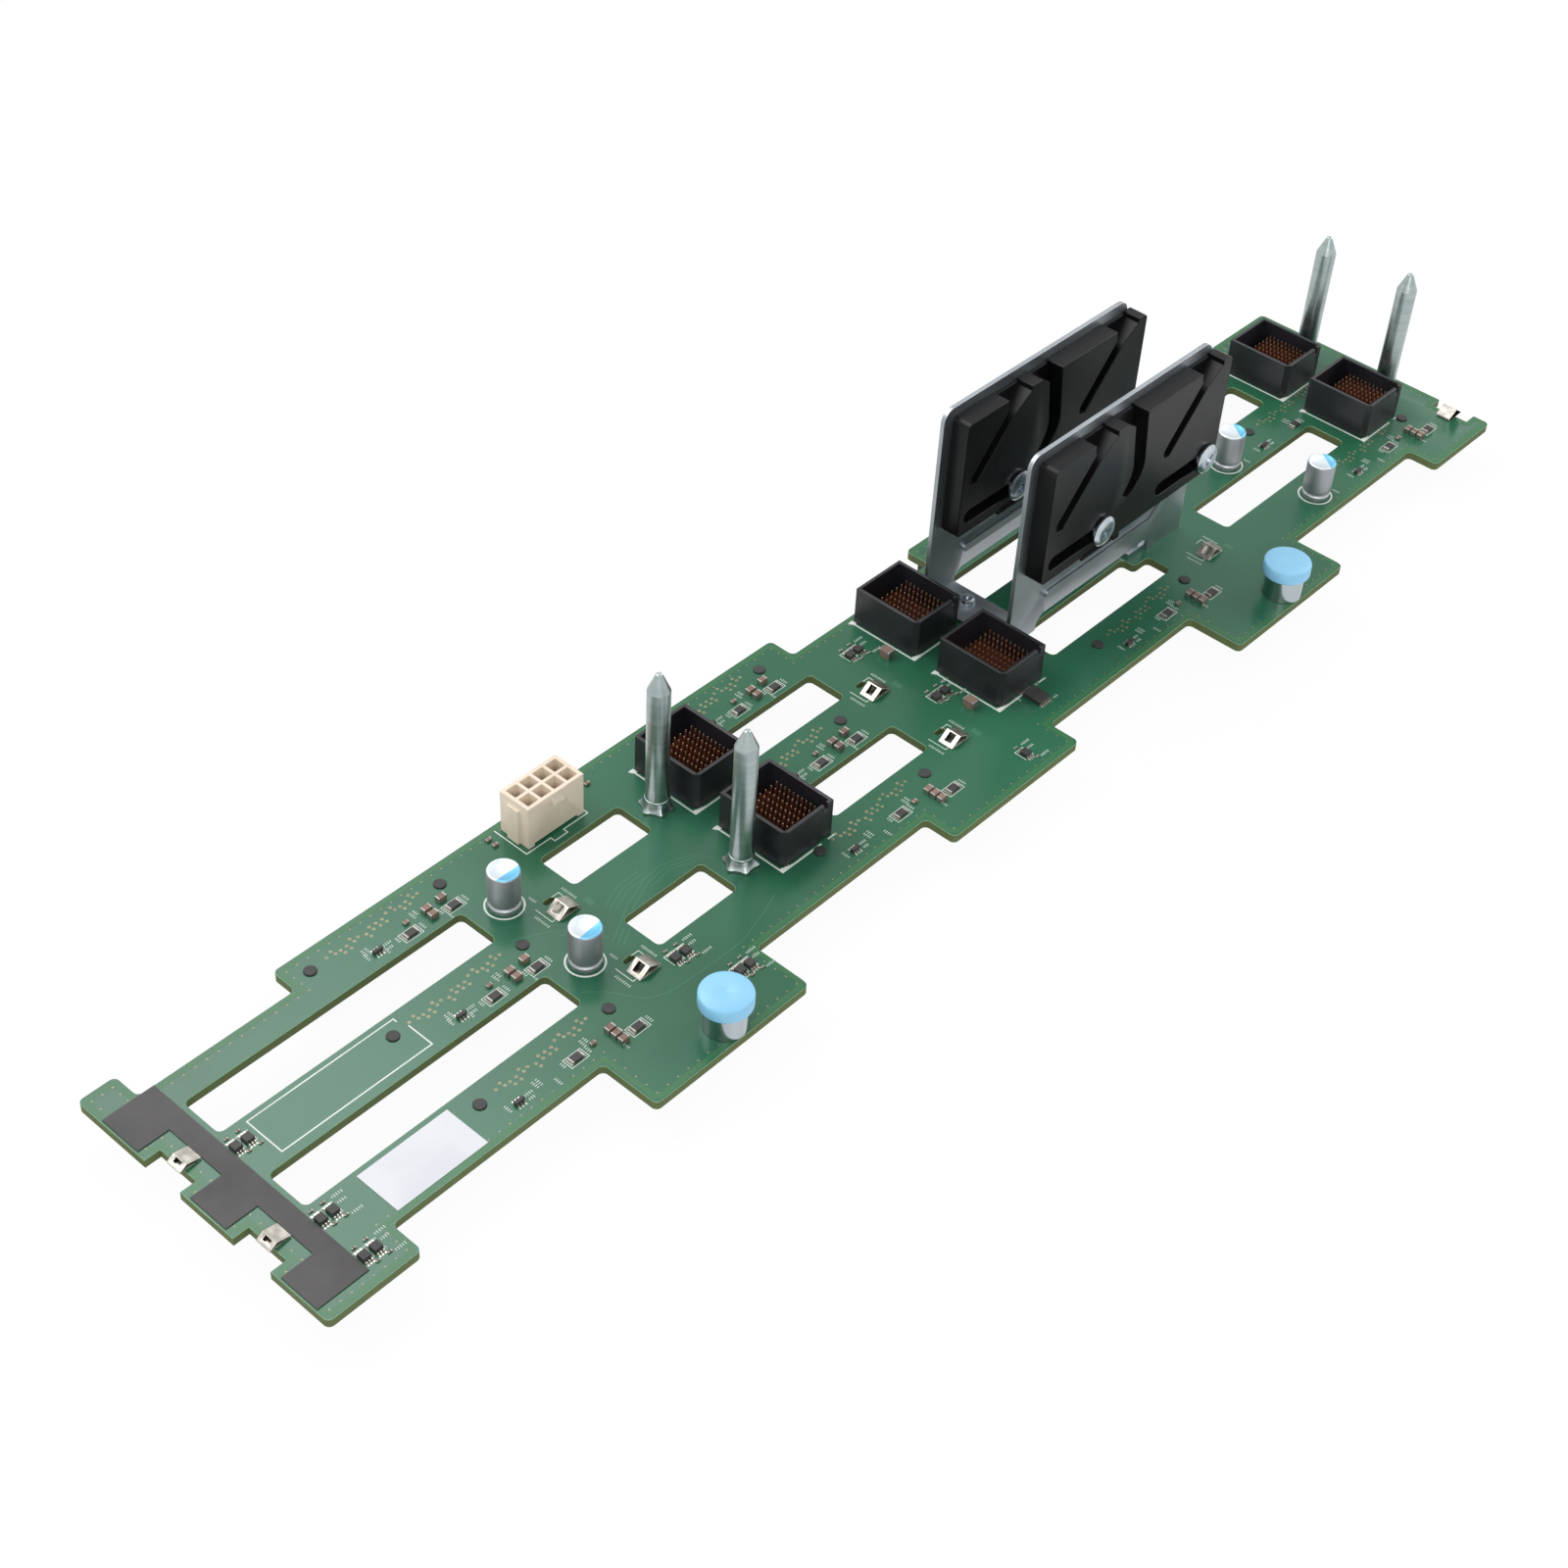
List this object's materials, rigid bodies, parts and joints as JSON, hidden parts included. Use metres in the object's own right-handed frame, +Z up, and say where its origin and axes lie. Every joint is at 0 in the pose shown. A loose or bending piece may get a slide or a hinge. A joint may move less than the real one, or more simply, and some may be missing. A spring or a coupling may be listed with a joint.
{
  "type": "drive backplane board",
  "caption": "Green server drive backplane with signal headers, guide pins, blue release pins and a steel bracket with sliding cam plates.",
  "frame": {"origin": "under the middle of the part's box, at the open faces of the drive connectors", "axes": "+X along the board towards the cam bracket's end, +Y across the rows of bays, +Z up out of the component face"},
  "size_m": [0.4408, 0.0886, 0.0708],
  "materials": {
    "solder_mask": "satin",
    "connector_black": "matte",
    "header_black": "satin",
    "contact_gold": "polished",
    "guide_steel": "polished",
    "ivory_plastic": "satin",
    "can_aluminium": "satin",
    "sleeve_steel": "polished",
    "knob_blue": "satin",
    "galvanised_steel": "satin",
    "cam_black": "satin",
    "screw_steel": "polished",
    "clip_tin": "satin",
    "insulator_film": "matte",
    "label_white": "matte",
    "resistor_black": "satin",
    "ceramic_brown": "satin",
    "chip_black": "matte"
  },
  "bodies": {
    "backplane": {"bracket_screws": "screw_steel", "bulk_capacitor_1": "can_aluminium", "bulk_capacitor_2": "can_aluminium", "bulk_capacitor_3": "can_aluminium", "bulk_capacitor_4": "can_aluminium", "cam_screws": "screw_steel", "ceramic_capacitors": "ceramic_brown", "circuit_board": "solder_mask", "drive_connector_a1": "connector_black", "drive_connector_a2": "connector_black", "drive_connector_a3": "connector_black", "drive_connector_a4": "connector_black", "drive_connector_b1": "connector_black", "drive_connector_b2": "connector_black", "drive_connector_b3": "connector_black", "drive_connector_b4": "connector_black", "drive_connector_c1": "connector_black", "drive_connector_c2": "connector_black", "drive_connector_c3": "connector_black", "drive_connector_c4": "connector_black", "grounding_clips": "clip_tin", "guide_bracket": "galvanised_steel", "guide_pin_1": "guide_steel", "guide_pin_2": "guide_steel", "guide_pin_3": "guide_steel", "guide_pin_4": "guide_steel", "header_pins_a1": "contact_gold", "header_pins_a2": "contact_gold", "header_pins_a3": "contact_gold", "header_pins_b1": "contact_gold", "header_pins_b2": "contact_gold", "header_pins_b3": "contact_gold", "insulator_sheet": "insulator_film", "plain_label": "label_white", "power_connector": "ivory_plastic", "power_pins": "contact_gold", "release_barrel_1": "sleeve_steel", "release_barrel_2": "sleeve_steel", "sense_resistors": "resistor_black", "signal_header_a1": "header_black", "signal_header_a2": "header_black", "signal_header_a3": "header_black", "signal_header_b1": "header_black", "signal_header_b2": "header_black", "signal_header_b3": "header_black", "small_chips": "chip_black"},
    "cam_front": {"cam_plate_front": "cam_black"},
    "cam_rear": {"cam_plate_rear": "cam_black"},
    "release_pin_1": {"release_plunger_1": "sleeve_steel", "release_knob_1": "knob_blue"},
    "release_pin_2": {"release_plunger_2": "sleeve_steel", "release_knob_2": "knob_blue"}
  },
  "joints": [
    {"name": "cam_front_slide", "type": "slide", "parent": "backplane", "child": "cam_front", "axis": [1, 0, 0], "range_m": [0, 0.02]},
    {"name": "cam_rear_slide", "type": "slide", "parent": "backplane", "child": "cam_rear", "axis": [1, 0, 0], "range_m": [0, 0.02]},
    {"name": "release_pin_1_lift", "type": "slide", "parent": "backplane", "child": "release_pin_1", "axis": [0, 0, 1], "range_m": [0, 0.005], "stiffness_N_per_m": 600, "springref_m": -0.004},
    {"name": "release_pin_2_lift", "type": "slide", "parent": "backplane", "child": "release_pin_2", "axis": [0, 0, 1], "range_m": [0, 0.005], "stiffness_N_per_m": 600, "springref_m": -0.004}
  ]
}
